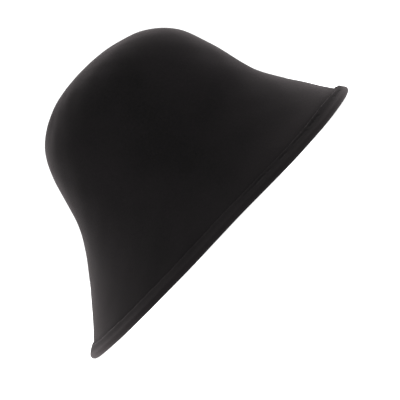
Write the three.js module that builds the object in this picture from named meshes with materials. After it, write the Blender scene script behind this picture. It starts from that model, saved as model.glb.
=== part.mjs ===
// A cloche hat of wool felt: a deep round crown that runs without a seam into a flared brim.
// The whole hat is one piece of felt, blocked from one hood. Round the rim the felt is turned up over the
// outside of the brim and lies there as a welt, a second layer of felt with a cut upper edge.
//
// Millimetres, +Z up. The hat stands on its rim on z = 0. The origin is the middle of the rim's box, the
// front of the hat faces -Y, and the hat is the same on its left (+X) and its right.
import * as THREE from "three";

// Overall sizes.
const rimLength = 310; // front to back, over the folded edge
const rimWidth = 280; // side to side, over the folded edge
const hatHeight = 175;

// The waist is the line where the crown ends and the brim starts to flare.
const waistHeight = 92;
const waistLength = 190.5; // outside, front to back
const waistWidth = 164; // outside, side to side
const crownSetback = 14; // how far the crown's axis lies behind the middle of the rim

// The rim lies flat at the front and the sides and curls up a little at the back.
const backLift = 2.5;
const backLiftTightness = 12; // more keeps the lift closer to the back

// The felt and the welt.
const feltThickness = 2.6;
const weltWidth = 12.6; // from the bottom of the fold to the cut edge
const foldGap = 0.7; // between the two layers at the fold
const lipGap = 0.3; // between the two layers at the cut edge
const lipThickness = 2.4; // of the welt at its cut edge, at the back and the sides
const frontLipThickness = 1.3; // the same at the front, where the welt is pressed thin
const frontLipTightness = 3; // more keeps the thin stretch closer to the front
const lipRound = 0.5; // rounding of the cut edge's outer corner
const restWidth = 2.2; // flat that the fold presses itself where it stands on a surface

// Outline of the sections in plan: 2 is an ellipse, and more is squarer.
const crownSquareness = 2;
const rimSquareness = 2.3;

// Sections of the brim, from the fold (height 0) to the waist (height 1).
// flareLength and flareWidth are the shares of the brim's overhang that are left at that height.
const brimSections = [
  { height: 0.0, flareLength: 1.0, flareWidth: 1.0, setback: 0.0 },
  { height: 0.1, flareLength: 0.868, flareWidth: 0.848, setback: 0.125 },
  { height: 0.3, flareLength: 0.643, flareWidth: 0.589, setback: 0.325 },
  { height: 0.54, flareLength: 0.368, flareWidth: 0.314, setback: 0.545 },
  { height: 0.77, flareLength: 0.139, flareWidth: 0.115, setback: 0.73 },
  { height: 0.885, flareLength: 0.059, flareWidth: 0.048, setback: 0.85 },
  { height: 1.0, flareLength: 0.0, flareWidth: 0.0, setback: 0.935 },
];

// Sections of the crown, above the waist (height 0) up to its top (height 1).
// length and width are shares of the waist's.
const crownSections = [
  { height: 0.12, length: 0.972, width: 0.972, setback: 0.97 },
  { height: 0.302, length: 0.927, width: 0.93, setback: 1.0 },
  { height: 0.484, length: 0.873, width: 0.882, setback: 1.01 },
  { height: 0.605, length: 0.822, width: 0.836, setback: 1.0 },
  { height: 0.726, length: 0.74, width: 0.757, setback: 0.99 },
  { height: 0.849, length: 0.6, width: 0.621, setback: 0.94 },
  { height: 0.909, length: 0.485, width: 0.506, setback: 0.85 },
  { height: 0.969, length: 0.31, width: 0.326, setback: 0.77 },
  { height: 1.0, length: 0.0, width: 0.0, setback: 0.74 },
];

// Fineness of the mesh.
const aroundSteps = 72;
const outerRows = 26;
const innerRows = 26;
const weltRows = 3;
const foldSteps = 4;

// The fold is a half circle round the gap between the layers, and its centre is that far above the surface.
const foldRadius = feltThickness + foldGap / 2;
const foldHeight = Math.sqrt(foldRadius ** 2 - (restWidth / 2) ** 2);

// What the profile's spline passes through: [height, half length, half width, setback, squareness] for each
// section, from the fold's centre to the top, and one past the top that mirrors the last below it, so that
// the top is round.
function profileKnots() {
  const brimHeight = waistHeight - foldHeight;
  const lengthFlare = rimLength / 2 - foldRadius - waistLength / 2;
  const widthFlare = rimWidth / 2 - foldRadius - waistWidth / 2;
  const knots = brimSections.map((s) => [
    foldHeight + s.height * brimHeight,
    waistLength / 2 + s.flareLength * lengthFlare,
    waistWidth / 2 + s.flareWidth * widthFlare,
    s.setback * crownSetback,
    rimSquareness + s.height * (crownSquareness - rimSquareness),
  ]);
  for (const s of crownSections)
    knots.push([
      waistHeight + s.height * (hatHeight - waistHeight),
      (s.length * waistLength) / 2,
      (s.width * waistWidth) / 2,
      s.setback * crownSetback,
      crownSquareness,
    ]);
  const [height, halfLength, halfWidth, setback, squareness] = knots.at(-2);
  knots.push([height, -halfLength, -halfWidth, setback, squareness]);
  return knots;
}

// A smooth curve through the knots, as a function of the distance along the profile.
function profileCurve(knots) {
  const places = [0];
  for (let i = 1; i < knots.length; i++) {
    const [h0, l0] = knots[i - 1];
    const [h1, l1] = knots[i];
    places.push(places[i - 1] + Math.hypot(h1 - h0, l1 - l0));
  }
  const curve = new THREE.CubicInterpolant(
    new Float64Array(places),
    new Float64Array(knots.flat()),
    knots[0].length,
  );
  return { at: (place) => Array.from(curve.evaluate(place)), top: places.at(-2) };
}

const profile = profileCurve(profileKnots());

// How far the felt is lifted: most at the back of the rim, and less up the brim until nothing at the waist.
function liftAt(angle, height) {
  const backness = ((1 + Math.sin(angle)) / 2) ** backLiftTightness;
  const nearness = Math.max(1 - height / waistHeight, 0) ** 2;
  return backLift * backness * nearness;
}

// A point of the profile's surface, at a polar angle round the hat and a place along the profile. It is the
// felt's outer face, apart from the welt, where it runs between the two layers.
function outerPoint(angle, place) {
  const [height, halfLength, halfWidth, setback, squareness] = profile.at(place);
  const c = Math.cos(angle);
  const s = Math.sin(angle);
  const spread =
    Math.abs(c / halfWidth) ** squareness + Math.abs(s / halfLength) ** squareness;
  const reach = spread ** (-1 / squareness);
  return new THREE.Vector3(reach * c, setback + reach * s, height + liftAt(angle, height));
}

// The same point with its directions: along is round the hat, up is across that in the surface, and out is
// the outward normal.
function outerFrame(angle, place) {
  const turn = 0.002;
  const shift = 0.05;
  const low = Math.max(place - shift, 0);
  const high = Math.min(place + shift, profile.top - shift);
  const along = outerPoint(angle + turn, place)
    .sub(outerPoint(angle - turn, place))
    .normalize();
  const rise = outerPoint(angle, high).sub(outerPoint(angle, low));
  const out = along.clone().cross(rise).normalize();
  const up = out.clone().cross(along).normalize();
  return { point: outerPoint(angle, place), along, up, out };
}

// A point that lies outside (positive depth) or inside (negative depth) of the profile's surface.
function feltPoint(angle, place, depth) {
  const { point, out } = outerFrame(angle, place);
  return point.addScaledVector(out, depth);
}

// The place along the profile that lies a given distance up the felt from the fold, at this angle.
function placeUpTheFelt(angle, distance) {
  const step = 0.5;
  let place = 0;
  let walked = 0;
  let from = outerPoint(angle, 0);
  while (walked < distance) {
    const to = outerPoint(angle, place + step);
    const stride = from.distanceTo(to);
    if (walked + stride >= distance)
      return place + (step * (distance - walked)) / stride;
    walked += stride;
    place += step;
    from = to;
  }
  return place;
}

// The welt's thickness at its cut edge: thin at the front, full at the sides and the back.
function lipThicknessAt(angle) {
  const frontness = ((1 - Math.sin(angle)) / 2) ** frontLipTightness;
  return THREE.MathUtils.lerp(lipThickness, frontLipThickness, frontness);
}

// The felt's cross-section at one angle, as a line of points from the top of the crown down the outside,
// round the welt and up the inside. Every angle has the same number of points.
function crossSection(angle) {
  const points = [];
  const { lerp, smoothstep } = THREE.MathUtils;
  const lip = placeUpTheFelt(angle, weltWidth - foldRadius);
  const lipFelt = lipThicknessAt(angle);

  // How far out the layers' faces lie, from the fold (share 0) to the cut edge (share 1).
  const brimFace = (share) => lerp(-foldGap / 2, 0, share);
  const weltInside = (share) => lerp(foldGap / 2, lipGap, share);
  const weltOutside = (share) =>
    weltInside(share) + lerp(feltThickness, lipFelt, smoothstep(share, 0, 1));

  // Down the outside to the welt, and on between the layers to the fold.
  for (let i = 1; i <= outerRows; i++)
    points.push(outerPoint(angle, lerp(profile.top, lip, i / outerRows)));
  for (let i = weltRows - 1; i >= 0; i--)
    points.push(feltPoint(angle, (lip * i) / weltRows, brimFace(i / weltRows)));

  // Round the inside of the fold, up the welt's inner face, over its cut edge and down its outer face.
  const { point: centre, up, out } = outerFrame(angle, 0);
  points.push(centre.clone().addScaledVector(up, -foldGap / 2));
  for (let i = 0; i <= weltRows; i++)
    points.push(feltPoint(angle, (lip * i) / weltRows, weltInside(i / weltRows)));
  points.push(feltPoint(angle, lip, weltOutside(1) - lipRound));
  points.push(feltPoint(angle, lip - lipRound, weltOutside(1)));
  for (let i = weltRows - 1; i > 0; i--)
    points.push(feltPoint(angle, (lip * i) / weltRows, weltOutside(i / weltRows)));

  // Round the outside of the fold: from its outer face to where it is widest, on to the flat on which it
  // stands, and from there to the inside of the brim.
  const onFold = (turn) =>
    centre
      .clone()
      .addScaledVector(out, foldRadius * Math.cos(turn))
      .addScaledVector(up, -foldRadius * Math.sin(turn));
  const widest = Math.atan2(out.z, up.z);
  const lowest = widest + Math.PI / 2;
  const halfRest = Math.asin(restWidth / 2 / foldRadius);
  points.push(onFold(0));
  for (let i = 0; i <= foldSteps; i++)
    points.push(onFold(lerp(widest, lowest - halfRest, i / foldSteps)));
  for (let i = 0; i < foldSteps; i++)
    points.push(onFold(lerp(lowest + halfRest, Math.PI, i / foldSteps)));

  // Up the inside to the top.
  for (let i = 0; i < innerRows; i++) {
    const place = (profile.top * i) / innerRows;
    const share = Math.min(place / lip, 1);
    points.push(feltPoint(angle, place, brimFace(share) - feltThickness));
  }
  return points;
}

// One closed surface: the cross-sections side by side all round, closed at the top of each face by a fan.
function feltGeometry() {
  const sections = [];
  for (let i = 0; i < aroundSteps; i++)
    sections.push(crossSection((2 * Math.PI * i) / aroundSteps));
  const rows = sections[0].length;
  const positions = sections.flat().flatMap((p) => [p.x, p.y, p.z]);
  const [topHeight, , , topSetback] = profile.at(profile.top);
  const outerTop = positions.length / 3;
  const innerTop = outerTop + 1;
  positions.push(0, topSetback, topHeight, 0, topSetback, topHeight - feltThickness);

  const faces = [];
  for (let i = 0; i < aroundSteps; i++) {
    const here = i * rows;
    const next = ((i + 1) % aroundSteps) * rows;
    faces.push(outerTop, here, next);
    for (let j = 0; j < rows - 1; j++) {
      faces.push(here + j, here + j + 1, next + j);
      faces.push(next + j, here + j + 1, next + j + 1);
    }
    faces.push(innerTop, next + rows - 1, here + rows - 1);
  }
  const geometry = new THREE.BufferGeometry();
  geometry.setAttribute("position", new THREE.Float32BufferAttribute(positions, 3));
  geometry.setIndex(faces);
  geometry.computeVertexNormals();
  return geometry;
}

const blackFelt = new THREE.MeshStandardMaterial({
  color: 0x1b1a1b,
  roughness: 0.95,
  metalness: 0,
});

const feltBody = new THREE.Mesh(feltGeometry(), blackFelt);
feltBody.name = "felt_body";

const hat = new THREE.Group();
hat.name = "cloche_hat";
hat.add(feltBody);

export default hat;
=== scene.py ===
"""A black wool-felt cloche hat on a plain white surface.

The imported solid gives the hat's size. Its felt is rebuilt here as a fine surface with the fold, the cut
edge and the pull of the stitches, and the thread that holds the welt is laid into it. Metres, +Z up, front
towards -Y.
"""
import logging
import math
from dataclasses import dataclass
from enum import Enum
from typing import Any, NamedTuple

import bpy
import numpy as np
from mathutils import Matrix, Vector


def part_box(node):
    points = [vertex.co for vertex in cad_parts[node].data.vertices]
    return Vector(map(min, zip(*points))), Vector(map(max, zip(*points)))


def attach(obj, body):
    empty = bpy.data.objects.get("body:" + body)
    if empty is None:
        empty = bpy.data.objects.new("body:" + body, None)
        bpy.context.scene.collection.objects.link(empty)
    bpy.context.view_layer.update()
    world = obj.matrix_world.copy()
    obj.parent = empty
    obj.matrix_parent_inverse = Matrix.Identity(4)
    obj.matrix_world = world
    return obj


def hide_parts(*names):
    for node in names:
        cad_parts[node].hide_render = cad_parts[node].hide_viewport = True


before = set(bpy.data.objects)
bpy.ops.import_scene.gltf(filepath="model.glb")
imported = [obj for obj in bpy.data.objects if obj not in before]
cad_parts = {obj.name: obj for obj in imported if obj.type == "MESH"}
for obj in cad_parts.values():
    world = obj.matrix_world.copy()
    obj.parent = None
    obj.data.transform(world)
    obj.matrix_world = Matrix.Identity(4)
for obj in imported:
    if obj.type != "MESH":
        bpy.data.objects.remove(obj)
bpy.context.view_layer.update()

log = logging.getLogger("cloche")

Array = np.ndarray
MM = 0.001


class Slot(Enum):
    """The record's material slots."""

    FELT = "black_wool_felt"
    THREAD = "black_thread"


class WearAndShading(Enum):
    """The mesh attributes: the first takes sheen away where the nap lies flat and as painted shade, the
    second makes the felt paler where its dye is worn off and as painted light.
    """

    FLAT_NAP_AND_SHADE = "flat_nap_and_shade"
    RUBBED_AND_LIGHT = "rubbed_and_light"


def lerp(low: Any, high: Any, share: Any) -> Any:
    """Returns the value that lies the given share of the way from low to high."""
    return low + (high - low) * share


def smooth_step(low: float, high: float, value: Array) -> Array:
    """Goes from 0 at low to 1 at high with no corner at either end.

    Args:
        low: Where it leaves 0.
        high: Where it reaches 1.
        value: Where it is wanted.

    Returns:
        3t^2 - 2t^3, with t the clamped share of the way.
    """
    share = np.clip((value - low) / (high - low), 0.0, 1.0)
    return share * share * (3 - 2 * share)


def unit(vectors: Array) -> Array:
    """Returns the vectors, along the last axis, with a length of one."""
    return vectors / np.linalg.norm(vectors, axis=-1, keepdims=True)


def linear(hex_colour: str) -> tuple[float, float, float, float]:
    """Turns an sRGB colour into the linear one that a shader takes.

    Args:
        hex_colour: Six hex digits after a #.

    Returns:
        Linear red, green, blue and an alpha of one.
    """
    bytes_ = [int(hex_colour[i : i + 2], 16) / 255 for i in (1, 3, 5)]
    channels = [c / 12.92 if c <= 0.04045 else ((c + 0.055) / 1.055) ** 2.4 for c in bytes_]
    return channels[0], channels[1], channels[2], 1.0


def add_node(tree: bpy.types.NodeTree, kind: str, inputs: dict[str, Any], **settings: Any) -> bpy.types.Node:
    """Adds a node with its settings, values and links.

    Args:
        tree: The node tree that it goes into.
        kind: The node's type.
        inputs: A value or another node's output for each named input.
        settings: Values of the node's own properties.

    Returns:
        The new node.
    """
    node = tree.nodes.new(kind)
    for name, value in settings.items():
        setattr(node, name, value)
    for name, value in inputs.items():
        socket = node.inputs[name]
        if isinstance(value, bpy.types.NodeSocket):
            tree.links.new(value, socket)
        else:
            socket.default_value = value
    return node


def new_material(name: str) -> tuple[bpy.types.Material, bpy.types.NodeTree]:
    """Returns a new material and its empty node tree."""
    material = bpy.data.materials.new(name)
    material.use_nodes = True
    material.node_tree.nodes.clear()
    return material, material.node_tree


def make_mesh(
    name: str, points: Array, faces: list[Array], attributes: dict[str, Array]
) -> bpy.types.Object:
    """Puts a surface that has been worked out as arrays into a smooth-shaded object at the origin.

    Args:
        name: The object's name.
        points: Every point, (n, 3), in metres.
        faces: Arrays of corner numbers, one array for the quads and one for the triangles.
        attributes: A number for each point, by attribute name.

    Returns:
        The new object, linked to the scene.
    """
    corners = np.concatenate([f.ravel() for f in faces])
    sizes = np.concatenate([np.full(len(f), f.shape[1]) for f in faces])
    starts = np.concatenate([[0], np.cumsum(sizes)[:-1]])
    mesh = bpy.data.meshes.new(name)
    mesh.vertices.add(len(points))
    mesh.loops.add(len(corners))
    mesh.polygons.add(len(sizes))
    mesh.vertices.foreach_set("co", points.astype(np.float32).ravel())
    mesh.loops.foreach_set("vertex_index", corners.astype(np.int32))
    mesh.polygons.foreach_set("loop_start", starts.astype(np.int32))
    mesh.polygons.foreach_set("use_smooth", np.ones(len(sizes), bool))
    for key, values in attributes.items():
        mesh.attributes.new(key, "FLOAT", "POINT").data.foreach_set("value", values.astype(np.float32))
    mesh.update(calc_edges=True)
    mesh.validate()
    obj = bpy.data.objects.new(name, mesh)
    bpy.context.scene.collection.objects.link(obj)
    return obj


@dataclass(frozen=True)
class WoolFelt:
    """Wool felt, dyed black, steamed over a block and left matt.

    The wool drinks nearly all the light that meets it head on. Seen along the surface, the fine nap that
    stands up from it catches the light, so that the hat turns dark grey towards its outline. Close to, the
    felt is a mat of short tangled fibres, a little uneven in tone. Where the nap lies flat, as under the
    tight stitches, it loses its sheen and the felt looks darker; sheen is also taken away as painted shade on
    the welt, in the stitches' groove, round the waist and on the crown's front shoulder and back. A paler
    colour is dye worn off along the cut edge, and is also a painted highlight on the cut edge and painted
    light on the fold and the front of the welt.
    """

    name: str = "Black_blocked_wool_felt"
    deep: str = "#080808"  # between the fibres
    fibre: str = "#131112"  # on top of them
    rubbed_and_light: str = "#4c4748"  # where the dye is worn off, and painted light on the cut edge, the fold and the welt
    nap: float = 0.155
    nap_tint: str = "#fff3f5"
    nap_roughness: float = 0.39
    gloss: float = 0.03
    roughness: float = 0.9
    fibre_size: float = 1.4 * MM  # drawn coarser than the wool's 0.02 mm, so that it shows
    cloud_size: float = 60 * MM  # patches where the felt is a little denser
    cloud_seed: float = 0.0  # picks one arrangement of the patches
    deepest_tone: float = 0.65  # of the tangle and the clouds added together
    palest_tone: float = 1.35
    fibre_relief: float = 0.12 * MM

    def material(self) -> bpy.types.Material:
        """Returns the felt's material."""
        material, tree = new_material(self.name)
        place = add_node(tree, "ShaderNodeTexCoord", {}).outputs["Object"]
        tangle = add_node(
            tree,
            "ShaderNodeTexNoise",
            {
                "Vector": place,
                "Scale": 1 / self.fibre_size,
                "Detail": 4.0,
                "Roughness": 0.62,
                "Distortion": 1.2,
            },
        ).outputs["Fac"]
        clouds = add_node(
            tree,
            "ShaderNodeTexNoise",
            {
                "Vector": place,
                "W": self.cloud_seed,
                "Scale": 1 / self.cloud_size,
                "Detail": 3.0,
                "Roughness": 0.5,
            },
            noise_dimensions="4D",
        ).outputs["Fac"]
        tone = add_node(tree, "ShaderNodeMath", {0: tangle, 1: clouds}, operation="ADD").outputs[0]
        share = add_node(
            tree,
            "ShaderNodeMapRange",
            {"Value": tone, "From Min": self.deepest_tone, "From Max": self.palest_tone},
        ).outputs["Result"]
        wool = add_node(
            tree,
            "ShaderNodeMixRGB",
            {"Fac": share, "Color1": linear(self.deep), "Color2": linear(self.fibre)},
        ).outputs["Color"]
        # the paler colour is worn dye and painted light, and the lost sheen is flat nap and painted shade
        flat_nap_and_shade, rubbed_and_light = (
            add_node(tree, "ShaderNodeAttribute", {}, attribute_name=wear.value, attribute_type="GEOMETRY")
            for wear in (WearAndShading.FLAT_NAP_AND_SHADE, WearAndShading.RUBBED_AND_LIGHT)
        )
        colour = add_node(
            tree,
            "ShaderNodeMixRGB",
            {"Fac": rubbed_and_light.outputs["Fac"], "Color1": wool, "Color2": linear(self.rubbed_and_light)},
        ).outputs["Color"]
        standing = add_node(
            tree, "ShaderNodeMapRange", {"Value": flat_nap_and_shade.outputs["Fac"], "To Min": self.nap, "To Max": 0.0}
        ).outputs["Result"]
        relief = add_node(
            tree, "ShaderNodeBump", {"Height": tangle, "Distance": self.fibre_relief, "Strength": 1.0}
        ).outputs["Normal"]
        shader = add_node(
            tree,
            "ShaderNodeBsdfPrincipled",
            {
                "Base Color": colour,
                "Roughness": self.roughness,
                "Specular IOR Level": self.gloss,
                "Sheen Weight": standing,
                "Sheen Roughness": self.nap_roughness,
                "Sheen Tint": linear(self.nap_tint),
                "Normal": relief,
            },
        )
        add_node(tree, "ShaderNodeOutputMaterial", {"Surface": shader.outputs["BSDF"]})
        return material


@dataclass(frozen=True)
class SewingThread:
    """Spun polyester sewing thread, dyed black.

    It is smoother than the felt round it, so that each stitch shows as a small dark bar with a faint light
    on top.
    """

    name: str = "Black_spun_thread"
    strand: str = "#0b0b0b"
    worn: str = "#171617"
    roughness: float = 0.6
    gloss: float = 0.15
    twist: float = 0.6 * MM  # length of one turn of the yarn, drawn at its real size
    relief: float = 0.05 * MM

    def material(self) -> bpy.types.Material:
        """Returns the thread's material."""
        material, tree = new_material(self.name)
        place = add_node(tree, "ShaderNodeTexCoord", {}).outputs["Object"]
        yarn = add_node(
            tree, "ShaderNodeTexNoise", {"Vector": place, "Scale": 1 / self.twist, "Detail": 2.0}
        ).outputs["Fac"]
        colour = add_node(
            tree,
            "ShaderNodeMixRGB",
            {"Fac": yarn, "Color1": linear(self.strand), "Color2": linear(self.worn)},
        ).outputs["Color"]
        relief = add_node(
            tree, "ShaderNodeBump", {"Height": yarn, "Distance": self.relief}
        ).outputs["Normal"]
        shader = add_node(
            tree,
            "ShaderNodeBsdfPrincipled",
            {
                "Base Color": colour,
                "Roughness": self.roughness,
                "Specular IOR Level": self.gloss,
                "Normal": relief,
            },
        )
        add_node(tree, "ShaderNodeOutputMaterial", {"Surface": shader.outputs["BSDF"]})
        return material


@dataclass(frozen=True)
class StudioPaper:
    """Matt white paper on a light table: even white with no grain, which lights the hat from below too."""

    name: str = "White_paper_on_light_table"
    white: str = "#fbfbfb"
    roughness: float = 0.9
    glow: float = 1.05

    def material(self) -> bpy.types.Material:
        """Returns the paper's material."""
        material, tree = new_material(self.name)
        shader = add_node(
            tree,
            "ShaderNodeBsdfPrincipled",
            {
                "Base Color": linear(self.white),
                "Roughness": self.roughness,
                "Specular IOR Level": 0.0,
                "Emission Color": linear(self.white),
                "Emission Strength": self.glow,
            },
        )
        add_node(tree, "ShaderNodeOutputMaterial", {"Surface": shader.outputs["BSDF"]})
        return material


class BrimSection(NamedTuple):
    """One level of the brim, from the fold (height 0) to the waist (height 1).

    flare_length and flare_width are the shares of the brim's overhang that are left at that height, and
    setback is a share of how far back the crown stands.
    """

    height: float
    flare_length: float
    flare_width: float
    setback: float


class CrownSection(NamedTuple):
    """One level of the crown, from the waist (height 0) to the top (height 1).

    length and width are shares of the waist's, and setback is a share of how far back the crown stands.
    """

    height: float
    length: float
    width: float
    setback: float


BRIM = (
    BrimSection(height=0.0, flare_length=1.0, flare_width=1.0, setback=0.0),
    BrimSection(height=0.1, flare_length=0.868, flare_width=0.848, setback=0.125),
    BrimSection(height=0.3, flare_length=0.643, flare_width=0.589, setback=0.325),
    BrimSection(height=0.54, flare_length=0.368, flare_width=0.314, setback=0.545),
    BrimSection(height=0.77, flare_length=0.139, flare_width=0.115, setback=0.73),
    BrimSection(height=0.885, flare_length=0.059, flare_width=0.048, setback=0.85),
    BrimSection(height=1.0, flare_length=0.0, flare_width=0.0, setback=0.935),
)

CROWN = (
    CrownSection(height=0.12, length=0.972, width=0.972, setback=0.97),
    CrownSection(height=0.302, length=0.927, width=0.93, setback=1.0),
    CrownSection(height=0.484, length=0.873, width=0.882, setback=1.01),
    CrownSection(height=0.605, length=0.822, width=0.836, setback=1.0),
    CrownSection(height=0.726, length=0.74, width=0.757, setback=0.99),
    CrownSection(height=0.849, length=0.6, width=0.621, setback=0.94),
    CrownSection(height=0.909, length=0.485, width=0.506, setback=0.85),
    CrownSection(height=0.969, length=0.31, width=0.326, setback=0.77),
    CrownSection(height=1.0, length=0.0, width=0.0, setback=0.74),
)


@dataclass
class HatShape:
    """The shape that the hood is blocked to: one smooth surface from the rim's fold to the crown's top.

    A point on it has an angle round the hat (0 at +X, the front at -90 degrees) and a place, its distance
    up the profile from the fold's centre. It is the felt's outer face, apart from the welt, where it runs
    between the two layers.
    """

    rim_length: float
    rim_width: float
    hat_height: float
    waist_height: float = 92 * MM
    waist_length: float = 190.5 * MM
    waist_width: float = 164 * MM
    crown_setback: float = 14 * MM
    back_lift: float = 2.5 * MM
    back_lift_tightness: float = 12
    felt: float = 2.6 * MM
    fold_gap: float = 0.7 * MM
    rest_width: float = 2.2 * MM
    crown_squareness: float = 2.0
    rim_squareness: float = 2.3
    small_turn: float = 0.002
    small_step: float = 0.05 * MM
    walk_steps: int = 80

    def __post_init__(self) -> None:
        """Works out the fold and the spline that the profile follows."""
        self.fold_radius = self.felt + self.fold_gap / 2
        self.fold_height = math.sqrt(self.fold_radius**2 - (self.rest_width / 2) ** 2)
        self.knots = self._profile_knots()
        steps = np.hypot(*np.diff(self.knots[:, :2], axis=0).T)
        self.places = np.concatenate([[0.0], np.cumsum(steps)])
        slopes = np.diff(self.knots, axis=0) / steps[:, None]
        self.tangents = np.concatenate([slopes[:1], (slopes[1:] + slopes[:-1]) / 2, slopes[-1:]])
        self.top = float(self.places[-2])

    def _profile_knots(self) -> Array:
        """Lists what the profile passes through.

        Returns:
            A row for each section, with its height, half length, half width, setback and squareness, and
            one past the top that mirrors the last below it, so that the top is round.
        """
        length_flare = self.rim_length / 2 - self.fold_radius - self.waist_length / 2
        width_flare = self.rim_width / 2 - self.fold_radius - self.waist_width / 2
        brim = np.array(BRIM)
        crown = np.array(CROWN)
        low = np.stack(
            [
                lerp(self.fold_height, self.waist_height, brim[:, 0]),
                self.waist_length / 2 + brim[:, 1] * length_flare,
                self.waist_width / 2 + brim[:, 2] * width_flare,
                brim[:, 3] * self.crown_setback,
                lerp(self.rim_squareness, self.crown_squareness, brim[:, 0]),
            ],
            axis=1,
        )
        high = np.stack(
            [
                lerp(self.waist_height, self.hat_height, crown[:, 0]),
                crown[:, 1] * self.waist_length / 2,
                crown[:, 2] * self.waist_width / 2,
                crown[:, 3] * self.crown_setback,
                np.full(len(crown), self.crown_squareness),
            ],
            axis=1,
        )
        mirrored = high[-2] * np.array([1, -1, -1, 1, 1])
        return np.concatenate([low, high, mirrored[None]])

    def profile(self, place: Array) -> Array:
        """Follows the profile: cubic curves between the knots, each knot's slope the mean of those beside it.

        Args:
            place: Distances up the profile.

        Returns:
            Height, half length, half width, setback and squareness, along a new first axis.
        """
        low = np.clip(np.searchsorted(self.places, place, side="right") - 1, 0, len(self.places) - 2)
        span = (self.places[low + 1] - self.places[low])[..., None]
        t = (place - self.places[low])[..., None] / span
        value = (
            self.knots[low] * (2 * t**3 - 3 * t**2 + 1)
            + self.knots[low + 1] * (3 * t**2 - 2 * t**3)
            + self.tangents[low] * span * (t**3 - 2 * t**2 + t)
            + self.tangents[low + 1] * span * (t**3 - t**2)
        )
        return np.moveaxis(value, -1, 0)

    def point(self, angle: Array, place: Array) -> Array:
        """Finds points of the surface.

        Each level is an oval whose radius r at an angle obeys |cos / width|^n + |sin / length|^n = 1 / r^n,
        with n its squareness. Below the waist the back is lifted by back_lift * ((1 + sin) / 2)^tightness
        times (1 - height / waist height)^2.

        Args:
            angle: Angles round the hat.
            place: Distances up the profile.

        Returns:
            The points, along a new last axis.
        """
        height, half_length, half_width, setback, squareness = self.profile(place)
        c, s = np.cos(angle), np.sin(angle)
        spread = np.abs(c / half_width) ** squareness + np.abs(s / half_length) ** squareness
        reach = spread ** (-1 / squareness)
        backness = ((1 + s) / 2) ** self.back_lift_tightness
        nearness = np.clip(1 - height / self.waist_height, 0, None) ** 2
        lift = self.back_lift * backness * nearness
        return np.stack([reach * c, setback + reach * s, height + lift], axis=-1)

    def directions(self, angle: Array, place: Array) -> tuple[Array, Array, Array]:
        """Finds points of the surface with their directions, from differences over a small step each way.

        Args:
            angle: Angles round the hat.
            place: Distances up the profile.

        Returns:
            The points, the unit vectors up along the surface, and the unit vectors out of it.
        """
        turn, step = self.small_turn, self.small_step
        low = np.clip(place - step, 0, None)
        high = np.clip(place + step, None, self.top - step)
        along = unit(self.point(angle + turn, place) - self.point(angle - turn, place))
        rise = self.point(angle, high) - self.point(angle, low)
        out = unit(np.cross(along, rise))
        return self.point(angle, place), np.cross(out, along), out

    def place_up_the_felt(self, angle: Array, distance: Array) -> Array:
        """Finds the place that lies a given distance up the felt from the fold's centre.

        Args:
            angle: Angles round the hat, (n,).
            distance: Distances along the surface, (n,).

        Returns:
            The places, from the lengths of short steps up the surface at each angle, summed and inverted.
        """
        steps = np.linspace(0, 2 * float(distance.max()), self.walk_steps + 1)
        line = self.point(angle[None, :], steps[:, None] + 0 * angle[None, :])
        strides = np.linalg.norm(np.diff(line, axis=0), axis=-1)
        walked = np.concatenate([np.zeros((1, angle.size)), np.cumsum(strides, axis=0)])
        last = np.clip((walked < distance).sum(axis=0) - 1, 0, len(steps) - 2)
        columns = np.arange(angle.size)
        share = (distance - walked[last, columns]) / strides[last, columns]
        return lerp(steps[last], steps[last + 1], share)


@dataclass(frozen=True)
class Ripple:
    """Soft unevenness of blocked felt: a few low waves that run round and up the hat, added together.

    fewest_round and most_round say how many crests a wave has round the hat, and pitch_up how far apart
    they are up it. Each wave's pitch is that times a number between least_pitch and most_pitch.
    """

    height: float
    fewest_round: int
    most_round: int
    pitch_up: float
    waves: int
    seed: int
    least_pitch: float = 0.8
    most_pitch: float = 1.6

    def at(self, angle: Array, place: Array) -> Array:
        """Finds the unevenness.

        Args:
            angle: Angles round the hat.
            place: Distances up the profile, of the same shape.

        Returns:
            The sum of height * sin(count * angle + 2 pi * place / pitch + phase) over the waves, scaled to
            keep the height whatever their number.
        """
        rng = np.random.default_rng(self.seed)
        count = rng.integers(self.fewest_round, self.most_round + 1, self.waves)
        hand = rng.choice([-1, 1], self.waves)
        pitch = self.pitch_up * rng.uniform(self.least_pitch, self.most_pitch, self.waves)
        rise = hand * 2 * np.pi / pitch
        phase = rng.uniform(0, 2 * np.pi, self.waves)
        turns = angle[..., None] * count + place[..., None] * rise + phase
        return self.height * np.sin(turns).sum(axis=-1) / math.sqrt(self.waves)


class TightStretch(NamedTuple):
    """A stretch of the seam where the thread is tight, measured towards the back from the hat's middle."""

    start: float
    end: float
    pull: float


TIGHT_STRETCHES = (
    TightStretch(start=27 * MM, end=38 * MM, pull=0.35),
    TightStretch(start=39 * MM, end=50.5 * MM, pull=0.8),
    TightStretch(start=52.5 * MM, end=56 * MM, pull=0.6),
    TightStretch(start=66 * MM, end=75 * MM, pull=0.8),
    TightStretch(start=82 * MM, end=94 * MM, pull=0.6),
    TightStretch(start=95 * MM, end=97.5 * MM, pull=0.7),
    TightStretch(start=100.5 * MM, end=113.5 * MM, pull=0.7),
    TightStretch(start=133 * MM, end=141 * MM, pull=0.7),
)


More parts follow.
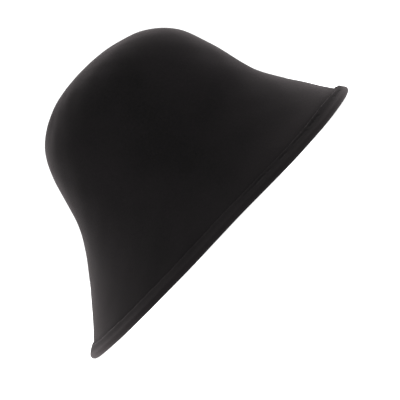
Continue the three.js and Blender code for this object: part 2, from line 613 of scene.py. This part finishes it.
@dataclass
class Stitches:
    """Where the machine stitches lie that hold the welt: one line all round, a little below the cut edge."""

    shape: HatShape
    welt_width: float
    pitch: float = 4.2 * MM
    length: float = 3.4 * MM
    below_cut: float = 3.8 * MM
    wander: float = 0.15 * MM
    slack_pull: float = 0.08
    soft_end: float = 1.0 * MM
    groove: float = 1.2 * MM
    uneven_spacing: float = 0.15
    walk_steps: int = 1440
    seed: int = 7

    def __post_init__(self) -> None:
        """Walks round the line and spaces the stitches along it."""
        self.angle = np.linspace(0, 2 * np.pi, self.walk_steps + 1)
        distance = np.full(self.angle.size, self.welt_width - self.below_cut - self.shape.fold_radius)
        line = self.shape.point(self.angle, self.shape.place_up_the_felt(self.angle, distance))
        strides = np.linalg.norm(np.diff(line, axis=0), axis=-1)
        self.walked = np.concatenate([[0.0], np.cumsum(strides)])
        self.round = float(self.walked[-1])
        self.count = round(self.round / self.pitch)
        rng = np.random.default_rng(self.seed)
        shift = rng.uniform(0.0, self.uneven_spacing, self.count)
        self.middle = (np.arange(self.count) + shift) * self.round / self.count
        self.middle_angle = np.interp(self.middle, self.walked, self.angle)
        self.up = rng.normal(0, self.wander, self.count)
        self.slant = rng.normal(0, self.wander, self.count)
        self.back = line[:, 1]

    def tightness(self, angle: Array) -> Array:
        """Finds how tight the thread is drawn.

        Args:
            angle: Angles round the hat, of any shape.

        Returns:
            The slack thread's pull, and in each tight stretch that stretch's, with soft ends.
        """
        back = np.interp(np.mod(angle, 2 * np.pi), self.angle, self.back)
        pull = np.full(np.shape(angle), self.slack_pull)
        for stretch in TIGHT_STRETCHES:
            inside = np.minimum(back - stretch.start, stretch.end - back)
            share = smooth_step(-self.soft_end / 2, self.soft_end / 2, inside)
            pull = np.maximum(pull, stretch.pull * share)
        return pull

    def pull(self, angle: Array, below: Array) -> Array:
        """Finds how strongly the thread pulls the welt in.

        Args:
            angle: Angles round the hat, (n,).
            below: Distances below the cut edge, (rows, n).

        Returns:
            The tightness times exp(-(across / groove)^2), with across counted from the line of the seam,
            (rows, n).
        """
        knots = np.append(self.middle_angle, 2 * np.pi)
        wander = np.interp(np.mod(angle, 2 * np.pi), knots, np.append(self.up, self.up[0]))
        across = below - self.below_cut + wander
        return self.tightness(angle) * np.exp(-((across / self.groove) ** 2))


class WearAndShadePatch(NamedTuple):
    """A soft-edged patch of the outer face that gives the felt either less sheen, mostly as painted shade, or
    a paler colour.

    turn and height are its middle, spread_round and spread_up how far it reaches, and strength how strong it
    is.
    """

    wear: WearAndShading
    turn: float
    height: float
    spread_round: float
    spread_up: float
    strength: float


ALL_ROUND = math.radians(3600)  # so wide that the patch has no ends

WEAR_AND_SHADE_PATCHES = (
    WearAndShadePatch(  # the crown's front shoulder: less sheen, painted shade in the corner between the top and the front
        wear=WearAndShading.FLAT_NAP_AND_SHADE,
        turn=math.radians(-90),
        height=165 * MM,
        spread_round=math.radians(60),
        spread_up=12 * MM,
        strength=0.45,
    ),
    WearAndShadePatch(  # the front of the brim: less sheen
        wear=WearAndShading.FLAT_NAP_AND_SHADE,
        turn=math.radians(-90),
        height=35 * MM,
        spread_round=math.radians(50),
        spread_up=35 * MM,
        strength=0.13,
    ),
    WearAndShadePatch(  # the waist, all round: less sheen, painted shade in the hollow where the waist curves in
        wear=WearAndShading.FLAT_NAP_AND_SHADE,
        turn=0.0,
        height=80 * MM,
        spread_round=ALL_ROUND,
        spread_up=16 * MM,
        strength=0.2,
    ),
    WearAndShadePatch(  # the back of the brim: a paler colour
        wear=WearAndShading.RUBBED_AND_LIGHT,
        turn=math.radians(70),
        height=14 * MM,
        spread_round=math.radians(45),
        spread_up=14 * MM,
        strength=0.08,
    ),
    WearAndShadePatch(  # above it, at the back: less sheen, painted shade that makes the back darker than the front
        wear=WearAndShading.FLAT_NAP_AND_SHADE,
        turn=math.radians(90),
        height=60 * MM,
        spread_round=math.radians(50),
        spread_up=22 * MM,
        strength=0.1,
    ),
)


class RimWave(NamedTuple):
    """A stretch of the rim, on both sides of the hat, that has risen off the surface.

    turn is its middle, between the front at -90 degrees and the back at 90, spread how far it reaches and
    lift how high it has risen.
    """

    turn: float
    spread: float
    lift: float


RIM_WAVES = (
    RimWave(turn=math.radians(-90), spread=math.radians(40), lift=1.4 * MM),
    RimWave(turn=math.radians(2), spread=math.radians(22), lift=1.5 * MM),
    RimWave(turn=math.radians(75), spread=math.radians(26), lift=1.6 * MM),
)


class Reach(NamedTuple):
    """Where a change starts and where it is complete."""

    start: float
    full: float


class Line(NamedTuple):
    """A stretch of the felt's cross-section: rows that run all round the hat, each array (rows, around).

    place is measured up the profile, out is how far the row lies outside the profile's surface there, up is
    how far it lies up along it, and the last two say how much sheen is taken away, where the nap lies flat
    and as painted shade, and how much paler the felt is made, where its dye is worn off and as painted light.
    """

    place: Array
    out: Array
    up: Array
    flat_nap_and_shade: Array
    rubbed_and_light: Array


@dataclass
class FeltBody:
    """Crown, brim and welt, which are one piece of felt turned up outside along the rim.

    The reaches of the ends, the tips and the parts towards the ends are sines of the angle, 1 at the very
    front or back; towards the ends, where the felt is seen edge-on, go more of the painted highlight and
    painted light and less of the painted shade. Those up the welt are shares of its width from the fold, and
    the last two are distances from the top and the fold.
    """

    shape: HatShape
    stitches: Stitches
    finish: WoolFelt
    welt_width: float = 12.6 * MM
    lip_gap: float = 0.3 * MM
    back_lip_felt: float = 2.7 * MM
    front_lip_felt: float = 0.9 * MM
    side_lip_felt: float = 1.0 * MM
    lip_round: float = 0.4 * MM
    stitch_depth: float = 0.5 * MM
    # less sheen along the stitches: the nap lies flat there, and it is painted shade in their groove
    seam_press_and_shade: float = 0.6
    edge_pressing: float = 0.5
    back_nap: float = 0.6
    # less sheen on the welt's upper face: painted shade, lighter towards the front end
    hem_shade: float = 0.45
    front_hem_less_shade: float = 0.3
    edge_fading: float = 0.6 * MM
    # paler colour along the cut edge: dye worn off there, and a painted highlight on its arris
    front_edge_rub_and_highlight: float = 1.0
    back_edge_rub_and_highlight: float = 0.6
    least_fleck: float = 0.1
    front_fleck_contrast: float = 0.8
    back_fleck_contrast: float = 2.0
    fleck_seed: int = 5
    # paler colour on the fold: painted light that lifts the shade on its downward side, with some worn dye
    side_fold_rub_and_light: float = 0.04
    front_fold_rub_and_light: float = 0.36
    back_fold_rub_and_light: float = 0.11
    # paler colour on the front of the welt: painted light that lifts its shade, with some worn dye
    front_welt_rub_and_light: float = 0.05
    front_trim: float = 0.6 * MM
    back_trim: float = 4.0 * MM
    end_reach: Reach = Reach(start=0.5, full=1.0)
    tip_reach: Reach = Reach(start=0.82, full=1.0)
    # the front and back ends, seen edge-on from the camera, get more of the painted highlight and painted
    # light and less of the painted shade
    toward_ends_reach: Reach = Reach(start=0.4, full=0.95)
    hem_shade_reach: Reach = Reach(start=0.0, full=0.6)
    fold_rub_and_light_reach: Reach = Reach(start=0.0, full=0.55)
    ripple_reach: Reach = Reach(start=0.0, full=70 * MM)
    wave_reach: Reach = Reach(start=0.0, full=45 * MM)
    cut_wander: Ripple = Ripple(
        height=0.2 * MM, fewest_round=9, most_round=70, pitch_up=1.0, waves=9, seed=3
    )
    broad: Ripple = Ripple(
        height=0.3 * MM, fewest_round=2, most_round=7, pitch_up=110 * MM, waves=7, seed=154
    )
    fine: Ripple = Ripple(
        height=0.1 * MM, fewest_round=8, most_round=22, pitch_up=34 * MM, waves=9, seed=12
    )
    around: int = 756
    outer_rows: int = 54
    inner_rows: int = 22
    slit_rows: int = 4
    welt_rows: int = 14
    arris_steps: int = 3
    fold_steps: int = 8

    def __post_init__(self) -> None:
        """Works out the angles, and the welt's edge, thickness, worn colour, sheen, and painted light and
        shade at each.
        """
        self.angle = np.arange(self.around) * 2 * np.pi / self.around
        behind = np.sin(self.angle)
        backness = smooth_step(*self.end_reach, behind)
        frontness = smooth_step(*self.end_reach, -behind)
        self.frontness = frontness
        # share towards the front and back ends, where the painted highlight and painted light go
        self.toward_ends = smooth_step(*self.toward_ends_reach, np.abs(behind))
        front_trim = self.front_trim * smooth_step(*self.tip_reach, -behind)
        back_trim = self.back_trim * smooth_step(*self.tip_reach, behind)
        wander = self.cut_wander.at(self.angle, 0 * self.angle)
        distance = self.welt_width - self.shape.fold_radius + wander - front_trim - back_trim
        self.lip = self.shape.place_up_the_felt(self.angle, distance)
        side_or_front = lerp(self.side_lip_felt, self.front_lip_felt, frontness)
        self.lip_thickness = lerp(side_or_front, self.back_lip_felt, backness)
        self.edge_pressed = self.edge_pressing * (1 - self.toward_ends * lerp(self.back_nap, 1.0, frontness))
        flecks = np.random.default_rng(self.fleck_seed).uniform(self.least_fleck, 1.0, self.around)
        edge_paling = lerp(self.back_edge_rub_and_highlight, self.front_edge_rub_and_highlight, frontness)
        contrast = lerp(self.back_fleck_contrast, self.front_fleck_contrast, frontness)
        # the cut edge's paler colour, worn dye and a painted highlight, strongest at the ends and broken into
        # flecks
        self.edge_rub_and_highlight = edge_paling * self.toward_ends * flecks**contrast
        # the front of the welt's painted light
        self.welt_rub_and_light = self.front_welt_rub_and_light * self.toward_ends * frontness
        # the fold's painted light, strongest at the ends
        end_fold_rub_and_light = lerp(self.back_fold_rub_and_light, self.front_fold_rub_and_light, frontness)
        self.fold_rub_and_light = lerp(self.side_fold_rub_and_light, end_fold_rub_and_light, self.toward_ends)

    def brim_face(self, share: Array) -> Array:
        """Returns how far out the brim's face lies in the welt, from the fold (share 0) to the edge (1)."""
        return lerp(-self.shape.fold_gap / 2, 0.0, share)

    def welt_inside(self, share: Array) -> Array:
        """Returns how far out the welt's inner face lies, from the fold (share 0) to the edge (1)."""
        return lerp(self.shape.fold_gap / 2, self.lip_gap, share)

    def welt_felt(self, share: Array, lip_felt: Array) -> Array:
        """Returns the welt's thickness, which falls ever faster from the fold (share 0) to the edge (1)."""
        return lerp(self.shape.felt, lip_felt, share**2 * (3 - share) / 2)

    def welt_outside(self, share: Array) -> Array:
        """Returns how far out the welt's outer face lies, before the stitches pull it in."""
        return self.welt_inside(share) + self.welt_felt(share, self.lip_thickness)

    def line(
        self,
        place: Array | float,
        out: Array | float,
        up: Array | float = 0.0,
        flat_nap_and_shade: Array | float = 0.0,
        rubbed_and_light: Array | float = 0.0,
    ) -> Line:
        """Returns a stretch of the section with its arrays filled out to (rows, around)."""
        given = (place, out, up, flat_nap_and_shade, rubbed_and_light)
        rows = max(np.shape(a)[0] for a in given if np.ndim(a) == 2)
        return Line(*(np.broadcast_to(a, (rows, self.around)) for a in given))

    def outer_face(self) -> Line:
        """Returns the outer face from near the top down to the welt's cut edge.

        Each patch adds strength * exp(-turned^2 - raised^2), both counted from its middle in its own
        spreads, to the loss of sheen, mostly painted shade, or to the paler colour.
        """
        share = (np.arange(1, self.outer_rows + 1) / self.outer_rows)[:, None]
        place = lerp(self.shape.top, self.lip, share)
        height = self.shape.profile(place)[0]
        # worn collects the patches' loss of sheen, mostly painted shade, and their paler colour
        worn = {wear: np.zeros_like(place) for wear in WearAndShading}
        for patch in WEAR_AND_SHADE_PATCHES:
            turned = np.angle(np.exp(1j * (self.angle - patch.turn))) / patch.spread_round
            raised = (height - patch.height) / patch.spread_up
            worn[patch.wear] = worn[patch.wear] + patch.strength * np.exp(-(turned**2) - raised**2)
        return self.line(place, 0.0, 0.0, worn[WearAndShading.FLAT_NAP_AND_SHADE], worn[WearAndShading.RUBBED_AND_LIGHT])

    def slit(self) -> list[Line]:
        """Returns the thin gap between the layers: down the brim, round inside the fold and up the welt."""
        share = (np.arange(self.slit_rows) / self.slit_rows)[:, None]
        turn = np.linspace(np.pi, 0, self.slit_rows + 1)[1:-1, None]
        gap = self.shape.fold_gap / 2
        down = self.line(self.lip * share[::-1], self.brim_face(share[::-1]))
        bottom = self.line(0.0, gap * np.cos(turn), -gap * np.sin(turn))
        back_up = self.line(self.lip * share, self.welt_inside(share))
        return [down, bottom, back_up]

    def cut_edge(self) -> Line:
        """Returns the welt's cut edge: a quarter circle, the flat of the cut, and another quarter circle."""
        ones = np.ones((1, self.around))
        turn = np.linspace(0, np.pi / 2, self.arris_steps + 1)[:, None]
        inner = self.lip_round / 2
        outer = self.lip_round * ones
        low = self.welt_inside(ones)
        high = self.welt_outside(ones)
        rise = np.concatenate([-inner + inner * np.sin(turn) * ones, -outer + outer * np.cos(turn)])
        out = np.concatenate([low + inner - inner * np.cos(turn), high - outer + outer * np.sin(turn)])
        # the cut edge: less sheen where it has no nap, and a paler colour that is worn dye and a painted
        # highlight
        return self.line(self.lip + rise, out, 0.0, self.edge_pressed, self.edge_rub_and_highlight)

    def welt_face(self) -> Line:
        """Returns the welt's outer face, from below its edge to above the fold, drawn in by the stitches."""
        top = self.lip - self.lip_round
        share = (1 - np.arange(1, self.welt_rows + 1) / (self.welt_rows + 1))[:, None]
        place = top * share
        below = self.lip - place
        pull = self.stitches.pull(self.angle, below)
        out = self.welt_outside(place / self.lip) - self.stitch_depth * pull
        fading = np.exp(-below / self.edge_fading)
        # less sheen under the cut edge, where it has no nap, and along the stitches, flat nap with painted
        # shade in their groove
        flat_nap_and_shade = np.maximum(self.edge_pressed * fading, self.seam_press_and_shade * pull)
        # less sheen on the welt's upper face: painted shade
        hem_shading = self.hem_shade * (1 - self.front_hem_less_shade * self.toward_ends * self.frontness)
        flat_nap_and_shade = np.maximum(flat_nap_and_shade, hem_shading * smooth_step(*self.hem_shade_reach, share))
        # paler below the cut edge, worn dye and a painted highlight, and on the front of the welt, painted
        # light
        rubbed_and_light = np.maximum(self.edge_rub_and_highlight * fading, self.welt_rub_and_light)
        # paler towards the fold: painted light on its downward side, with some worn dye
        rubbed_and_light = np.maximum(rubbed_and_light, self.fold_rub_and_light * (1 - smooth_step(*self.fold_rub_and_light_reach, share)))
        return self.line(place, out, 0.0, flat_nap_and_shade, rubbed_and_light)

    def fold(self) -> Line:
        """Returns the outside of the fold: a circle's arc, cut by the flat that the hat stands on."""
        _, up, out = self.shape.directions(self.angle, 0 * self.angle)
        widest = np.arctan2(out[:, 2], up[:, 2])
        lowest = widest + np.pi / 2
        half_rest = math.asin(self.shape.rest_width / 2 / self.shape.fold_radius)
        share = np.linspace(0, 1, self.fold_steps + 1)[:, None]
        turn = np.concatenate(
            [lerp(0.0, lowest - half_rest, share), lerp(lowest + half_rest, np.pi, share[:-1])]
        )
        radius = self.shape.fold_radius
        # the fold's paler colour: painted light that lifts the shade on its downward side, with some worn dye
        return self.line(0.0, radius * np.cos(turn), -radius * np.sin(turn), 0.0, self.fold_rub_and_light)

    def inner_face(self) -> Line:
        """Returns the inner face from the fold up to near the top."""
        place = self.shape.top * (np.arange(self.inner_rows) / self.inner_rows)[:, None]
        share = np.minimum(place / self.lip, 1)
        return self.line(place + 0 * self.angle, self.brim_face(share) - self.shape.felt)

    def section(self) -> Line:
        """Returns the whole cross-section: down the outside from the top, round the welt, up the inside."""
        stretches = [
            self.outer_face(),
            *self.slit(),
            self.cut_edge(),
            self.welt_face(),
            self.fold(),
            self.inner_face(),
        ]
        return Line(*(np.concatenate(arrays) for arrays in zip(*stretches)))

    def risen(self, angle: Array) -> Array:
        """Adds up the rim's waves, each lift * exp(-(turn / spread)^2), turn counted from its middle."""
        turn = np.arctan2(np.sin(angle), np.abs(np.cos(angle)))
        return sum(wave.lift * np.exp(-(((turn - wave.turn) / wave.spread) ** 2)) for wave in RIM_WAVES)

    def unevenness(self, angle: Array, place: Array) -> tuple[Array, Array]:
        """Finds how blocked felt strays from the block.

        Args:
            angle: Angles round the hat.
            place: Distances up the profile, of the same shape.

        Returns:
            How far each point is moved out, fading away at the top where the rows close, and how far it is
            lifted, fading away up the brim. The rim's lowest points are not lifted: the hat rests on them.
        """
        ripple = self.broad.at(angle, place) + self.fine.at(angle, place)
        below_top = smooth_step(*self.ripple_reach, self.shape.top - place)
        lift = self.risen(angle) - self.risen(self.angle).min()
        return ripple * below_top, lift * (1 - smooth_step(*self.wave_reach, place))

    def points(self, line: Line) -> Array:
        """Works out the surface.

        Args:
            line: The whole cross-section.

        Returns:
            The points, (rows, around, 3), each its place on the profile's surface plus its steps out and
            up. Nothing reaches below the surface that the hat stands on.
        """
        angle = self.angle + 0 * line.place
        base, up, out = self.shape.directions(angle, line.place)
        push, lift = self.unevenness(angle, line.place)
        points = base + out * (line.out + push)[..., None] + up * line.up[..., None]
        points[..., 2] = np.maximum(points[..., 2] + lift, 0.0)
        return points

    def build(self) -> bpy.types.Object:
        """Returns the felt as one closed surface: rows of quads, and a fan of triangles at each pole."""
        line = self.section()
        grid = self.points(line)
        rows = len(grid)
        _, _, _, setback, _ = self.shape.profile(np.array(self.shape.top))
        top = np.array([0.0, float(setback), self.shape.hat_height])
        poles = np.stack([top, top - [0, 0, self.shape.felt]])
        points = np.concatenate([grid.reshape(-1, 3), poles])
        number = np.arange(rows * self.around).reshape(rows, self.around)
        after = np.roll(number, -1, axis=1)
        quads = np.stack([number[:-1], number[1:], after[1:], after[:-1]], axis=-1).reshape(-1, 4)
        outer_pole = np.full(self.around, rows * self.around)
        fans = [
            np.stack([outer_pole, number[0], after[0]], axis=-1),
            np.stack([outer_pole + 1, after[-1], number[-1]], axis=-1),
        ]
        # the two attributes: less sheen, for flat nap and painted shade, and a paler colour, for worn dye and
        # painted light
        wear = {
            key.value: np.concatenate([values.ravel(), [0.0, 0.0]])
            for key, values in ((WearAndShading.FLAT_NAP_AND_SHADE, line.flat_nap_and_shade), (WearAndShading.RUBBED_AND_LIGHT, line.rubbed_and_light))
        }
        obj = make_mesh("felt_hat", points, [quads, *fans], wear)
        obj.data.materials.append(self.finish.material())
        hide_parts("felt_body")
        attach(obj, "root")
        return obj


@dataclass
class WeltStitching:
    """The thread of the stitches, of which the parts on the welt's outer face show."""

    body: FeltBody
    finish: SewingThread
    thickness: float = 0.4 * MM
    proud: float = 0.04 * MM
    slack_depth: float = 0.3 * MM
    sunk: float = 0.8 * MM
    rings: int = 9
    sides: int = 8

    def build(self) -> bpy.types.Object:
        """Returns the stitches as closed tubes in one mesh.

        Each tube's middle line runs along the welt and bends into the felt at both ends, as crest + sunk
        times 1 - t^2, less sunk, with t from -1 to 1 along the stitch, and rings of points stand round it.
        The crest is proud of the felt where the thread is tight and buried in the nap where it is slack.
        """
        stitches = self.body.stitches
        shape = self.body.shape
        t = np.linspace(-1, 1, self.rings)
        along = stitches.middle[:, None] + t * stitches.length / 2
        angle = np.interp(np.mod(along, stitches.round), stitches.walked, stitches.angle)
        lip = np.interp(angle, self.body.angle, self.body.lip, period=2 * np.pi)
        lip_felt = np.interp(angle, self.body.angle, self.body.lip_thickness, period=2 * np.pi)
        below = stitches.below_cut - stitches.up[:, None] - stitches.slant[:, None] * t
        place = lip - below
        share = place / lip
        felt = self.body.welt_felt(share, lip_felt)
        tight = stitches.tightness(angle)
        face = self.body.welt_inside(share) + felt - self.body.stitch_depth * tight
        crest = lerp(-self.slack_depth, self.proud, tight)
        bend = (crest + self.sunk) * (1 - t**2) - self.sunk
        base, _, out = shape.directions(angle, place)
        push, lift = self.body.unevenness(angle, place)
        middle = base + out * (face + bend + push)[..., None]
        middle[..., 2] += lift
        run = unit(np.gradient(middle, axis=1))
        side = unit(np.cross(run, out))
        rise = np.cross(side, run)
        turn = np.arange(self.sides) * 2 * np.pi / self.sides
        radius = self.thickness / 2
        rings = middle[:, :, None] + radius * (
            side[:, :, None] * np.cos(turn)[:, None] + rise[:, :, None] * np.sin(turn)[:, None]
        )
        number = np.arange(rings[..., 0].size).reshape(rings.shape[:3])
        after = np.roll(number, -1, axis=2)
        corners = [number[:, :-1], after[:, :-1], after[:, 1:], number[:, 1:]]
        quads = np.stack(corners, axis=-1).reshape(-1, 4)
        caps = [number[:, 0, ::-1].reshape(-1, self.sides), number[:, -1].reshape(-1, self.sides)]
        obj = make_mesh("welt_stitching", rings.reshape(-1, 3), [quads, *caps], {})
        obj.data.materials.append(self.finish.material())
        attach(obj, "root")
        return obj


@dataclass
class Studio:
    """A white surface, even white light with a softbox above the front, and a camera on the hat's left.

    The picture was turned, so the camera is rolled until the hat's crown points to the upper left.
    """

    floor_size: float = 30.0
    sky: float = 1.25
    softbox_size: float = 1.2
    softbox_height: float = 1.2
    softbox_front: float = 1.2
    softbox_power: float = 4.5
    camera_distance: float = 1400 * MM
    camera_height: float = 52.7 * MM
    aim_back: float = 2.35 * MM
    aim_height: float = 28.9 * MM
    roll_degrees: float = 46.15
    pixels_per_metre: float = 1190.0
    picture_pixels: int = 400
    sensor: float = 36.0

    def build(self) -> None:
        """Makes the surface, the light and the camera."""
        self.make_floor()
        self.make_light()
        self.make_camera()

    def make_floor(self) -> None:
        """Lays a plain white square under the hat."""
        half = self.floor_size / 2
        corners = np.array([[-half, -half, 0], [half, -half, 0], [half, half, 0], [-half, half, 0]])
        floor = make_mesh("floor", corners, [np.array([[0, 1, 2, 3]])], {})
        floor.data.materials.append(StudioPaper().material())

    def make_light(self) -> None:
        """Lights the hat from all round, and a little more from above and in front."""
        world = bpy.data.worlds.new("white_surround")
        world.use_nodes = True
        world.node_tree.nodes.clear()
        sky = add_node(
            world.node_tree, "ShaderNodeBackground", {"Color": (1.0, 1.0, 1.0, 1.0), "Strength": self.sky}
        )
        add_node(world.node_tree, "ShaderNodeOutputWorld", {"Surface": sky.outputs["Background"]})
        bpy.context.scene.world = world
        lamp = bpy.data.lights.new("softbox", "AREA")
        lamp.shape = "SQUARE"
        lamp.size = self.softbox_size
        lamp.energy = self.softbox_power
        softbox = bpy.data.objects.new("softbox", lamp)
        softbox.location = (0.0, -self.softbox_front, self.softbox_height)
        softbox.rotation_euler = (math.atan2(self.softbox_front, self.softbox_height), 0.0, 0.0)
        bpy.context.scene.collection.objects.link(softbox)

    def make_camera(self) -> None:
        """Sets the camera level with the lower brim, on the hat's left, and rolls it."""
        eye = Vector((self.camera_distance, self.aim_back, self.camera_height))
        aim = Vector((0.0, self.aim_back, self.aim_height))
        back = (eye - aim).normalized()
        level = Vector((0.0, 0.0, 1.0)).cross(back).normalized()
        right = Matrix.Rotation(math.radians(-self.roll_degrees), 3, back) @ level
        axes = Matrix((right, back.cross(right), back)).transposed()
        lens = bpy.data.cameras.new("camera")
        lens.sensor_width = self.sensor
        lens.lens = self.sensor * self.pixels_per_metre * (eye - aim).length / self.picture_pixels
        camera = bpy.data.objects.new("camera", lens)
        camera.matrix_world = Matrix.Translation(eye) @ axes.to_4x4()
        bpy.context.scene.collection.objects.link(camera)
        bpy.context.scene.camera = camera
        bpy.context.scene.view_settings.view_transform = "Standard"


def main() -> None:
    """Builds the hat piece by piece, then the studio round it."""
    logging.basicConfig(level=logging.INFO, format="%(message)s")
    low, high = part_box("felt_body")
    size = high - low
    shape = HatShape(rim_length=size.y, rim_width=size.x, hat_height=size.z)
    stitches = Stitches(shape, welt_width=FeltBody.welt_width)
    body = FeltBody(shape, stitches, WoolFelt())
    felt = body.build()
    log.info("%s: %d faces", felt.name, len(felt.data.polygons))
    thread = WeltStitching(body, SewingThread()).build()
    log.info("%s: %d stitches, %d faces", thread.name, stitches.count, len(thread.data.polygons))
    Studio().build()


if __name__ == "__main__":
    main()
